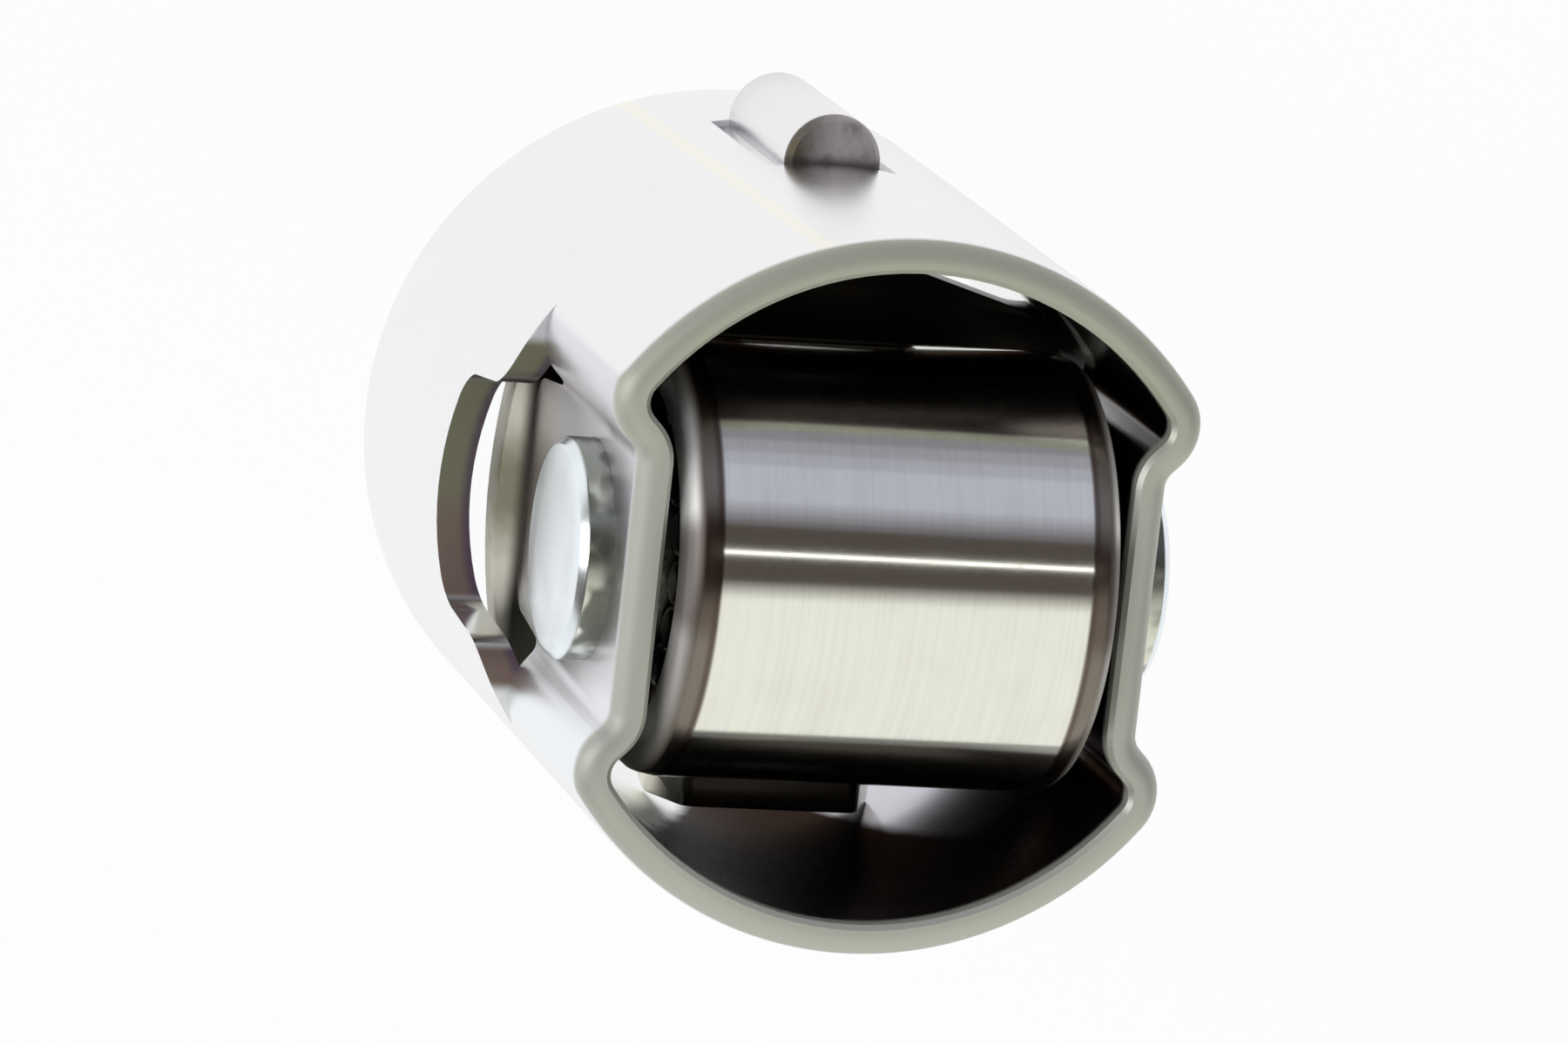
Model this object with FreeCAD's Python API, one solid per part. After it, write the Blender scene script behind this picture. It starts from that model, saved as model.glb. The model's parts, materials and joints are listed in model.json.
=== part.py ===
import FreeCAD, Part
import math
import os

# Roller tappet that carries the stroke of a cam lobe to a fuel pump plunger.
# Millimetres. The tappet stands on the open end of its skirt, with the origin at the
# centre of that end. +Z points up to the roller, +X lies along the axle pin, and +Y
# points to the guide key.

# Drawn housing
housing_radius = 15.0          # outside of the round wall, the guided diameter
wall = 1.4                     # sheet thickness
slot_height = 15.0             # lower end of the flats, and upper edge of the skirt below them
rim_rounding = 0.95            # outer edge of the rim
rim_break = 0.2                # inner edge of the rim
skirt_chamfer = 0.3            # outer edge of the skirt's open end

# The two flats, and the bends that lead the round wall into them
flat_set_in = 3.85             # how far the inside of a flat lies in from the bore
ear_bend = 1.6                 # radius of the outward bend, on the middle of the sheet
root_bend = 1.6                # radius of the inward bend, on the middle of the sheet
ramp_angle = 45.0              # slope of the short ramp between the two bends, in degrees
ramp_length = 0.4              # straight stretch of that ramp

# Lanced slot under each flat
slot_half_width = 4.9          # half of the slot's straight lower edge
slot_flank_run = 0.6           # how far each flank leans outward
slot_flank_rise = 5.0          # how far each flank climbs
slot_corner = 1.2              # rounding at both ends of a flank

# Roller, and the needles that it runs on
roller_corner_gap = 0.695      # between the roller's four outermost corners and the bore
roller_wall = 2.51             # from the roller's bore to its crown
roller_proud = 2.0             # how far the roller stands above the rim
roller_side_gap = 0.65         # between each end of the roller and its flat
roller_floor_gap = 1.7         # between the roller and the thrust bridge
edge_band = 1.3                # width of the relieved band at each end of the roller
edge_relief = 0.22             # how far that band falls away
edge_chamfer = 0.3             # corner between band and end face
bore_chamfer = 0.4
needle_radius = 1.0
needle_play = 0.02             # radial play on either side of a needle
needle_spacing = 0.04          # smallest space between two needles
needle_inset = 0.2             # needles end this far inside the roller

# Axle pin, held in the two flats
pin_overhang = 1.4             # pin beyond the outside of each flat
pin_chamfer = 0.35
pin_seat_play = 0.01           # radial play of the pin in its two holes

# Thrust bridge that the pump plunger pushes against
bridge_thickness = 1.8
bridge_play = 0.02             # between the bridge and the bore that it seats in
end_gap = 1.15                 # between the bore and the middle of each bowed end
end_bow_radius = 30.0          # bow of the two ends that show in the slots
side_gap = 4.65                # between the bore and the straight sides beside the tabs
shoulder_half_width = 9.3      # where the sides turn into the shoulders that rise to a tab
shoulder_corner = 3.0          # rounding of that turn
tab_half_width = 4.9           # where a tab leaves the plate
tab_top_half_width = 3.8
tab_thickness = 1.4
tab_rise = 3.0                 # turned-up tab above the bridge's upper face
tab_corner = 0.7
tab_bend = 1.0                 # inside radius of the tab's bend
pad_radius = 6.0               # coined pad under the plunger's foot
pad_height = 0.5
pad_chamfer = 0.3

# Guide key, set in a window of the wall
key_width = 5.6
key_length = 10.0
key_above_slot = 2.0           # upper end of the key above the slots' lower edge
key_crown_radius = 2.1
key_proud = 2.1                # crown beyond the round wall
key_shoulder = 0.3             # the key's shoulders lie this far below the wall's outside
key_inside_gap = 0.1           # the key's back lies this far outside the bore
key_end_chamfer = 0.3

# Sizes that follow from the ones above
inner_radius = housing_radius - wall
mid_radius = housing_radius - wall / 2
flat_inside = inner_radius - flat_set_in
flat_outside = flat_inside + wall
flat_middle = flat_inside + wall / 2
roller_length = 2 * (flat_inside - roller_side_gap)
roller_corner = inner_radius - roller_corner_gap
roller_radius = round(math.sqrt(roller_corner**2 - (roller_length / 2) ** 2), 2)
pin_height = slot_height + roller_floor_gap + roller_radius
rim_height = pin_height + roller_radius - roller_proud
pin_half_length = flat_outside + pin_overhang
bore_radius = roller_radius - roller_wall
pitch_radius = bore_radius - needle_play - needle_radius
pin_radius = pitch_radius - needle_radius - needle_play
needle_length = roller_length - 2 * needle_inset
needle_half_angle = math.asin((needle_radius + needle_spacing / 2) / pitch_radius)
needle_count = math.floor(math.pi / needle_half_angle)
bridge_floor = slot_height - bridge_thickness
bridge_radius = inner_radius - bridge_play
end_reach = inner_radius - end_gap
side_reach = inner_radius - side_gap
tab_outside = math.sqrt(bridge_radius**2 - tab_half_width**2)
tab_inside = tab_outside - tab_thickness
tab_foot = tab_inside - tab_bend
tab_crest = slot_height + tab_rise
key_top = slot_height + key_above_slot
key_bottom = key_top - key_length
key_back = inner_radius + key_inside_gap

# How far a cutting or trimming body runs past what it cuts
past = 2.0

AXIS_X = FreeCAD.Vector(1, 0, 0)
AXIS_Y = FreeCAD.Vector(0, 1, 0)
AXIS_Z = FreeCAD.Vector(0, 0, 1)
ORIGIN = FreeCAD.Vector(0, 0, 0)
PIN_CENTRE = FreeCAD.Vector(0, 0, pin_height)


def in_plan(u, v):
    """A point of a plan outline, seen from above."""
    return FreeCAD.Vector(u, v, 0)


def in_end_view(u, v):
    """A point of an outline seen along the pin axis: across, then up."""
    return FreeCAD.Vector(0, u, v)


def in_side_view(u, v):
    """A point of an outline seen along the guide key's direction: across, then up."""
    return FreeCAD.Vector(u, 0, v)


def in_half_section(u, v):
    """A point of a section that is turned about the pin axis: along the pin, then out."""
    return FreeCAD.Vector(u, 0, pin_height + v)


def rounded_outline(corners, place):
    """A closed wire through corners (u, v, radius), each rounded where its radius is not 0."""
    edges = []
    entries = []
    exits = []
    count = len(corners)
    for i, (u, v, radius) in enumerate(corners):
        here = place(u, v)
        before = place(*corners[i - 1][:2])
        after = place(*corners[(i + 1) % count][:2])
        if radius == 0:
            entries.append(here)
            exits.append(here)
            continue
        back = (before - here).normalize()
        ahead = (after - here).normalize()
        half_corner = back.getAngle(ahead) / 2
        setback = radius / math.tan(half_corner)
        bisector = (back + ahead).normalize()
        middle = here + bisector * (radius / math.sin(half_corner) - radius)
        entries.append(here + back * setback)
        exits.append(here + ahead * setback)
        edges.append(Part.Arc(entries[-1], middle, exits[-1]).toShape())
    for i in range(count):
        start = exits[i]
        end = entries[(i + 1) % count]
        if start.distanceToPoint(end) > 1e-6:
            edges.append(Part.LineSegment(start, end).toShape())
    return Part.Wire(Part.__sortEdges__(edges))


def rounded_prism(corners, place, sweep):
    """A rounded outline, filled and swept along a vector."""
    return Part.Face(rounded_outline(corners, place)).extrude(sweep)


def turned(corners, place, centre, axis):
    """A rounded section turned a full circle about an axis."""
    return Part.Face(rounded_outline(corners, place)).revolve(centre, axis, 360)


def ring(outer, inner, bottom, top):
    """An upright tube."""
    foot = FreeCAD.Vector(0, 0, bottom)
    outside = Part.makeCylinder(outer, top - bottom, foot, AXIS_Z)
    return outside.cut(Part.makeCylinder(inner, top - bottom, foot, AXIS_Z))


def formed_outline(offset):
    """Outline of the formed wall in plan, at an offset from the middle of the sheet.

    One quarter runs from the round wall through the ear bend, the ramp and the root
    bend to the flat. The other three are its mirror images. The round wall ends at the
    angle from the pin axis at which these bends meet the flat.
    """
    ramp = math.radians(ramp_angle)
    root_fall = root_bend * (1 - math.cos(ramp))
    ramp_start_x = flat_middle + root_fall + ramp_length * math.sin(ramp)
    ear = math.acos((ramp_start_x - ear_bend * math.cos(ramp)) / (mid_radius - ear_bend))
    radius = mid_radius + offset
    ear_radius = ear_bend + offset
    root_radius = root_bend - offset
    ear_centre = in_plan(math.cos(ear), math.sin(ear)) * (mid_radius - ear_bend)
    ramp_normal = in_plan(math.cos(ramp), -math.sin(ramp))
    ramp_heading = in_plan(-math.sin(ramp), -math.cos(ramp))
    ramp_start = ear_centre + ramp_normal * ear_bend
    root_centre = ramp_start + ramp_heading * ramp_length + ramp_normal * root_bend

    def on_ear(angle):
        return ear_centre + in_plan(math.cos(angle), math.sin(angle)) * ear_radius

    def on_root(angle):
        return root_centre - in_plan(math.cos(angle), math.sin(angle)) * root_radius

    ear_points = [on_ear(ear), on_ear((ear - ramp) / 2), on_ear(-ramp)]
    root_points = [on_root(-ramp), on_root(-ramp / 2), on_root(0)]
    edges = []
    for side_x in (1, -1):
        for side_y in (1, -1):
            def mirrored(point):
                return in_plan(point.x * side_x, point.y * side_y)

            edges.append(Part.Arc(*map(mirrored, ear_points)).toShape())
            edges.append(Part.Arc(*map(mirrored, root_points)).toShape())
            ramp_ends = [mirrored(ear_points[2]), mirrored(root_points[0])]
            edges.append(Part.LineSegment(*ramp_ends).toShape())
        flat_end = root_points[2]
        upper = in_plan(flat_end.x * side_x, flat_end.y)
        lower = in_plan(flat_end.x * side_x, -flat_end.y)
        edges.append(Part.LineSegment(upper, lower).toShape())
    for side_y in (1, -1):
        right = in_plan(ear_points[0].x, ear_points[0].y * side_y)
        left = in_plan(-ear_points[0].x, ear_points[0].y * side_y)
        edges.append(Part.Arc(right, in_plan(0, radius * side_y), left).toShape())
    return Part.Wire(Part.__sortEdges__(edges))


def formed_tube():
    """The wall as it is above the slots, with its two flats and a rounded rim."""
    outside = Part.Face(formed_outline(wall / 2)).extrude(AXIS_Z * rim_height)
    inside = Part.Face(formed_outline(-wall / 2)).extrude(AXIS_Z * rim_height)
    outside = outside.makeFillet(rim_rounding, rim_edges(outside))
    tube = outside.cut(inside)
    return tube.makeChamfer(rim_break, inner_rim_edges(tube))


def rim_edges(shape):
    """The edges of a shape that lie in the plane of the rim."""
    return [edge for edge in shape.Edges if edge.BoundBox.ZMin > rim_height - 1e-6]


def inner_rim_edges(tube):
    """The edges of the rim on its inner side: those that the middle of the sheet encloses."""
    enclosed = Part.Face(formed_outline(-wall / 4)).extrude(AXIS_Z * 2 * rim_height)
    inner = []
    for edge in rim_edges(tube):
        middle = edge.valueAt((edge.FirstParameter + edge.LastParameter) / 2)
        if enclosed.isInside(middle, 1e-6, True):
            inner.append(edge)
    return inner


def below_slots():
    """Everything under the line along which the flats are lanced from the skirt."""
    reach = housing_radius + past
    crest = slot_height + slot_flank_rise
    crest_half = slot_half_width + slot_flank_run
    corners = [
        (-reach, -past, 0),
        (reach, -past, 0),
        (reach, crest, 0),
        (crest_half, crest, slot_corner),
        (slot_half_width, slot_height, slot_corner),
        (-slot_half_width, slot_height, slot_corner),
        (-crest_half, crest, slot_corner),
        (-reach, crest, 0),
    ]
    prism = rounded_prism(corners, in_end_view, AXIS_X * (2 * reach))
    prism.translate(AXIS_X * -reach)
    return prism


def housing():
    """Round skirt below, flats above, a slot under each flat, pin holes and key window."""
    lance = below_slots()
    upper = formed_tube().cut(lance)
    lower = ring(housing_radius, inner_radius, 0, rim_height).common(lance)
    foot_edges = [edge for edge in lower.Edges if is_foot_edge(edge)]
    lower = lower.makeChamfer(skirt_chamfer, foot_edges)
    shell = upper.fuse(lower).removeSplitter()
    reach = housing_radius + past
    pin_hole = Part.makeCylinder(pin_radius + pin_seat_play, 2 * reach,
                                 PIN_CENTRE - AXIS_X * reach, AXIS_X)
    window_foot = FreeCAD.Vector(-key_width / 2, 0, key_bottom)
    window = Part.makeBox(key_width, reach, key_length, window_foot)
    return shell.cut(pin_hole).cut(window)


def is_foot_edge(edge):
    """Whether an edge is the outer edge of the skirt's open end."""
    box = edge.BoundBox
    return box.ZMax < 1e-6 and box.XMax > inner_radius + wall / 2


def roller():
    """Ground ring with a relieved band and a chamfered corner at each end."""
    half = roller_length / 2
    shoulder = half - edge_band
    band_end = roller_radius - edge_relief
    corners = [
        (-half + bore_chamfer, bore_radius, 0),
        (-half, bore_radius + bore_chamfer, 0),
        (-half, band_end - edge_chamfer, 0),
        (-half + edge_chamfer, band_end, 0),
        (-shoulder, roller_radius, 0),
        (shoulder, roller_radius, 0),
        (half - edge_chamfer, band_end, 0),
        (half, band_end - edge_chamfer, 0),
        (half, bore_radius + bore_chamfer, 0),
        (half - bore_chamfer, bore_radius, 0),
    ]
    return turned(corners, in_half_section, PIN_CENTRE, AXIS_X)


def axle_pin():
    """Plain hardened pin with chamfered ends."""
    corners = [
        (-pin_half_length, 0, 0),
        (-pin_half_length, pin_radius - pin_chamfer, 0),
        (-pin_half_length + pin_chamfer, pin_radius, 0),
        (pin_half_length - pin_chamfer, pin_radius, 0),
        (pin_half_length, pin_radius - pin_chamfer, 0),
        (pin_half_length, 0, 0),
    ]
    return turned(corners, in_half_section, PIN_CENTRE, AXIS_X)


def needle(index):
    """One flat-ended needle of the full complement."""
    start = PIN_CENTRE + AXIS_Z * pitch_radius - AXIS_X * (needle_length / 2)
    solid = Part.makeCylinder(needle_radius, needle_length, start, AXIS_X)
    solid.rotate(PIN_CENTRE, AXIS_X, 360 * index / needle_count)
    return solid


def thrust_bridge():
    """Stamped plate seated in the bore: bowed ends in the slots, a turned-up tab each side."""
    outline = [
        (housing_radius, -side_reach, 0),
        (housing_radius, side_reach, 0),
        (shoulder_half_width, side_reach, shoulder_corner),
        (tab_half_width, tab_foot, 0),
        (-tab_half_width, tab_foot, 0),
        (-shoulder_half_width, side_reach, shoulder_corner),
        (-housing_radius, side_reach, 0),
        (-housing_radius, -side_reach, 0),
        (-shoulder_half_width, -side_reach, shoulder_corner),
        (-tab_half_width, -tab_foot, 0),
        (tab_half_width, -tab_foot, 0),
        (shoulder_half_width, -side_reach, shoulder_corner),
    ]
    plate = rounded_prism(outline, in_plan, AXIS_Z * bridge_thickness)
    plate.translate(AXIS_Z * bridge_floor)
    floor_centre = AXIS_Z * bridge_floor
    plate = plate.common(Part.makeCylinder(bridge_radius, bridge_thickness, floor_centre))
    for side in (1, -1):
        bow_centre = floor_centre + AXIS_X * (side * (end_reach - end_bow_radius))
        bow = Part.makeCylinder(end_bow_radius, bridge_thickness, bow_centre)
        plate = plate.common(bow)
    return plate.fuse(tabs()).fuse(pad()).removeSplitter()


def tabs():
    """The two turned-up tabs: a bent strip across the skirt axis, trimmed to a taper."""
    root = tab_foot / 2
    strip_section = [
        (root, bridge_floor, 0),
        (tab_outside, bridge_floor, tab_bend + tab_thickness),
        (tab_outside, tab_crest, 0),
        (tab_inside, tab_crest, 0),
        (tab_inside, slot_height, tab_bend),
        (root, slot_height, 0),
    ]
    strip = rounded_prism(strip_section, in_end_view, AXIS_X * (2 * tab_half_width))
    strip.translate(AXIS_X * -tab_half_width)
    taper_start = bridge_floor + tab_bend + tab_thickness
    taper = [
        (-tab_half_width, bridge_floor - past, 0),
        (tab_half_width, bridge_floor - past, 0),
        (tab_half_width, taper_start, 0),
        (tab_top_half_width, tab_crest, tab_corner),
        (-tab_top_half_width, tab_crest, tab_corner),
        (-tab_half_width, taper_start, 0),
    ]
    trim = rounded_prism(taper, in_side_view, AXIS_Y * housing_radius)
    tab = strip.common(trim)
    return tab.fuse(tab.mirror(ORIGIN, AXIS_Y))


def pad():
    """Coined pad on the underside, where the plunger's foot rests."""
    face = bridge_floor - pad_height
    section = [
        (0, face, 0),
        (pad_radius - pad_chamfer, face, 0),
        (pad_radius, face + pad_chamfer, 0),
        (pad_radius, bridge_floor, 0),
        (0, bridge_floor, 0),
    ]
    return turned(section, in_side_view, ORIGIN, AXIS_Z)


def guide_key():
    """Key with a half-round crown, filling its window in the wall."""
    half = key_width / 2
    foot = AXIS_Z * key_bottom
    base_box = Part.makeBox(key_width, housing_radius, key_length,
                            FreeCAD.Vector(-half, 0, key_bottom))
    base = base_box.common(ring(housing_radius - key_shoulder, key_back, key_bottom, key_top))
    crown_centre = AXIS_Y * (housing_radius + key_proud - key_crown_radius) + foot
    crown = Part.makeCylinder(key_crown_radius, key_length, crown_centre, AXIS_Z)
    crown_edges = [edge for edge in crown.Edges if edge.BoundBox.ZLength < 1e-6]
    crown = crown.makeChamfer(key_end_chamfer, crown_edges)
    outside = ring(housing_radius + key_proud + past, key_back, key_bottom, key_top)
    return base.fuse(crown.common(outside)).removeSplitter()


def save(name, shape):
    """Write one sub-part to its own file."""
    solid = shape.Solids[0] if len(shape.Solids) == 1 else shape
    print(f"{name}: {len(shape.Solids)} solid, valid {shape.isValid()}, {shape.Volume:.1f} mm3")
    solid.exportStep(f"parts/{name}.step")


os.makedirs("parts", exist_ok=True)
save("housing", housing())
save("thrust_bridge", thrust_bridge())
save("axle_pin", axle_pin())
save("roller", roller())
save("guide_key", guide_key())
for position in range(needle_count):
    save(f"needle_{position + 1:02d}", needle(position))
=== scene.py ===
"""Looks of a roller tappet for a fuel pump: drawn housing, cam roller, axle pin and bridge."""
import json
import logging
import math
from dataclasses import dataclass
from enum import Enum
from typing import Any

import bpy
from mathutils import Matrix, Vector

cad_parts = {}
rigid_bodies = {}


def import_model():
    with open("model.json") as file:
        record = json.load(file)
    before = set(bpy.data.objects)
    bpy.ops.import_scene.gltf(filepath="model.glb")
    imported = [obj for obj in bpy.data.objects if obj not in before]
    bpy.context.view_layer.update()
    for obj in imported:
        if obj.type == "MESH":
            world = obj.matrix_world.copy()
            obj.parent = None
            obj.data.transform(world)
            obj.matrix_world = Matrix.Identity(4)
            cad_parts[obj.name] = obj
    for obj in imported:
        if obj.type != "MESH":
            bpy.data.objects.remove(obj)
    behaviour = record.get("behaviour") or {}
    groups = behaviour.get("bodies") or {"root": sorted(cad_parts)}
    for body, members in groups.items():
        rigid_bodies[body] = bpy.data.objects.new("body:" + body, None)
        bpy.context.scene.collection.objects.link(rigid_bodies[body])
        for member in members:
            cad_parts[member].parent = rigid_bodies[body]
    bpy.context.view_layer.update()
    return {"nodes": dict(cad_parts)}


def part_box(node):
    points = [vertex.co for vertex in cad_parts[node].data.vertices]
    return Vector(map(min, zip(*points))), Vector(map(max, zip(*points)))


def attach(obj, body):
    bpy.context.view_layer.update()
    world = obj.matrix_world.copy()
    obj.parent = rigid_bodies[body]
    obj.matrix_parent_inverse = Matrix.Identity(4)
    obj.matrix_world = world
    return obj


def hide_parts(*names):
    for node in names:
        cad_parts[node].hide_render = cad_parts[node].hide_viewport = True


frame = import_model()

log = logging.getLogger("tappet")

MM = 0.001
MERGE_DISTANCE = 2e-6
LAMP_LEAN = 0.28
Colour = tuple[float, float, float]
Span = tuple[float, float]


class Quantity:
    """A number that varies over a surface: a socket that can be used in sums."""

    def __init__(self, graph: "Graph", socket: bpy.types.NodeSocket) -> None:
        """Wrap a socket.

        Args:
            graph: the graph that the socket belongs to.
            socket: an output that carries one number.
        """
        self.graph = graph
        self.socket = socket

    def _combine(self, operation: str, *terms: Any) -> "Quantity":
        """One Math node.

        Args:
            operation: the node's operation.
            terms: its inputs in order, numbers or quantities.

        Returns:
            The node's result.
        """
        return self.graph.number("ShaderNodeMath", {"operation": operation}, *terms)

    def __add__(self, other: Any) -> "Quantity":
        """Sum."""
        return self._combine("ADD", self, other)

    def __radd__(self, other: Any) -> "Quantity":
        """Sum with a plain number first."""
        return self._combine("ADD", other, self)

    def __sub__(self, other: Any) -> "Quantity":
        """Difference."""
        return self._combine("SUBTRACT", self, other)

    def __rsub__(self, other: Any) -> "Quantity":
        """Difference with a plain number first."""
        return self._combine("SUBTRACT", other, self)

    def __mul__(self, other: Any) -> "Quantity":
        """Product."""
        return self._combine("MULTIPLY", self, other)

    def __rmul__(self, other: Any) -> "Quantity":
        """Product with a plain number first."""
        return self._combine("MULTIPLY", other, self)

    def __truediv__(self, other: Any) -> "Quantity":
        """Quotient."""
        return self._combine("DIVIDE", self, other)

    def __gt__(self, other: Any) -> "Quantity":
        """1 where this is the larger, 0 elsewhere."""
        return self._combine("GREATER_THAN", self, other)

    def __lt__(self, other: Any) -> "Quantity":
        """1 where this is the smaller, 0 elsewhere."""
        return self._combine("LESS_THAN", self, other)

    def size(self) -> "Quantity":
        """The number without its sign."""
        return self._combine("ABSOLUTE", self)

    def capped(self) -> "Quantity":
        """The number, or 1 where it is larger."""
        return self._combine("MINIMUM", self, 1.0)

    def root(self) -> "Quantity":
        """Square root."""
        return self._combine("SQRT", self)

    def angle_from(self, other: "Quantity") -> "Quantity":
        """Angle whose opposite side is this and whose adjacent side is the other."""
        return self._combine("ARCTAN2", self, other)

    def ramp(self, low: float, high: float, origin: float = 0.0) -> "Quantity":
        """A smooth rise from 0 to 1.

        Args:
            low: where the rise starts.
            high: where it ends, which may be lower than the start.
            origin: what both are counted from.

        Returns:
            0 before the start, 1 after the end, and a smooth step between.
        """
        settings = {"interpolation_type": "SMOOTHSTEP"}
        return self.graph.number("ShaderNodeMapRange", settings, self, origin + low,
                                 origin + high, 0.0, 1.0)


class Graph:
    """The node graph of one material."""

    def __init__(self, name: str) -> None:
        """Start an empty material.

        Args:
            name: the material's name.
        """
        self.material = bpy.data.materials.new(name)
        self.material.use_nodes = True
        self.tree = self.material.node_tree
        self.tree.nodes.clear()

    def node(self, kind: str, settings: dict[str, Any] | None = None,
             inputs: dict[Any, Any] | None = None) -> bpy.types.Node:
        """Add a node.

        Args:
            kind: the node's type.
            settings: its own settings, set before its sockets.
            inputs: values or links by socket name or position.

        Returns:
            The node.
        """
        made = self.tree.nodes.new(kind)
        for key, value in (settings or {}).items():
            setattr(made, key, value)
        for key, value in (inputs or {}).items():
            source = value.socket if isinstance(value, Quantity) else value
            if isinstance(source, bpy.types.NodeSocket):
                self.tree.links.new(source, made.inputs[key])
            else:
                made.inputs[key].default_value = source
        return made

    def number(self, kind: str, settings: dict[str, Any], *terms: Any) -> Quantity:
        """Add a node that gives one number.

        Args:
            kind: the node's type.
            settings: its own settings.
            terms: its inputs in order.

        Returns:
            The first output.
        """
        made = self.node(kind, settings, dict(enumerate(terms)))
        return Quantity(self, made.outputs[0])

    def millimetres(self) -> bpy.types.NodeSocket:
        """Read the point on the surface.

        Returns:
            The point in the piece's own frame, in millimetres.
        """
        place = self.node("ShaderNodeTexCoord").outputs["Object"]
        scaled = self.node("ShaderNodeVectorMath", {"operation": "SCALE"},
                           {0: place, "Scale": 1 / MM})
        return scaled.outputs[0]

    def parts(self, vector: bpy.types.NodeSocket) -> list[Quantity]:
        """The three numbers of a vector."""
        split = self.node("ShaderNodeSeparateXYZ", None, {0: vector})
        return [Quantity(self, socket) for socket in split.outputs]

    def vector(self, *terms: Any) -> bpy.types.NodeSocket:
        """A vector made of three numbers."""
        return self.node("ShaderNodeCombineXYZ", None, dict(enumerate(terms))).outputs[0]

    def facing(self) -> list[Quantity]:
        """The three numbers of the surface's normal."""
        return self.parts(self.node("ShaderNodeNewGeometry").outputs["Normal"])

    def noise(self, vector: bpy.types.NodeSocket, scale: float, detail: float = 3.0,
              roughness: float = 0.5) -> Quantity:
        """Soft noise around 0.5.

        Args:
            vector: the point to read it at.
            scale: how many blotches there are to a unit.
            detail: how many finer layers it has.
            roughness: how strong those layers are.

        Returns:
            The noise as a number.
        """
        made = self.node("ShaderNodeTexNoise", None, {
            "Vector": vector, "Scale": scale, "Detail": detail, "Roughness": roughness})
        return Quantity(self, made.outputs["Fac"])

    def blend(self, factor: Any, first: Any, second: Any) -> bpy.types.NodeSocket:
        """Mix two colours.

        Args:
            factor: 0 for the first colour, 1 for the second.
            first: a colour or a link.
            second: a colour or a link.

        Returns:
            The mixed colour.
        """
        def full(colour: Any) -> Any:
            """A colour with its opacity, or the link as it is."""
            return (*colour, 1.0) if isinstance(colour, tuple) else colour

        made = self.node("ShaderNodeMix", {"data_type": "RGBA"},
                         {0: factor, 6: full(first), 7: full(second)})
        return made.outputs[2]

    def bump(self, height: Quantity, distance: float, strength: float) -> bpy.types.NodeSocket:
        """A normal that follows a height.

        Args:
            height: the height, as a share of the distance.
            distance: the height's full range, in millimetres.
            strength: how much of it shows.

        Returns:
            The normal.
        """
        made = self.node("ShaderNodeBump", None, {
            "Height": height, "Distance": distance * MM, "Strength": strength})
        return made.outputs[0]

    def steel(self, constants: dict[str, Any], varying: dict[str, Any]) -> bpy.types.NodeSocket:
        """One Principled shader.

        Args:
            constants: values on the shader's own sockets.
            varying: links into its sockets.

        Returns:
            The shader's output.
        """
        return self.node("ShaderNodeBsdfPrincipled", None, {**constants, **varying}).outputs[0]

    def layered(self, factor: Quantity, under: bpy.types.NodeSocket,
                over: bpy.types.NodeSocket) -> bpy.types.NodeSocket:
        """Lay one shader over another.

        Args:
            factor: 1 where the upper shader covers the lower one.
            under: the lower shader.
            over: the upper shader.

        Returns:
            The mixed shader.
        """
        return self.node("ShaderNodeMixShader", None, {0: factor, 1: under, 2: over}).outputs[0]

    def close(self, surface: bpy.types.NodeSocket) -> bpy.types.Material:
        """Send a shader to the material's output.

        Args:
            surface: the shader.

        Returns:
            The finished material.
        """
        output = self.node("ShaderNodeOutputMaterial")
        self.tree.links.new(surface, output.inputs[0])
        return self.material


@dataclass(frozen=True)
class WallPoint:
    """What the housing's finish reads at a point of its wall.

    Lengths are in millimetres, and the angle round the axis is in radians from +X to +Y.
    Outward and upward are the normal's parts away from the axis and along it.
    """

    x: Quantity
    y: Quantity
    z: Quantity
    radius: Quantity
    around: Quantity
    outward: Quantity
    upward: Quantity
    cloud: Quantity


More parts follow.
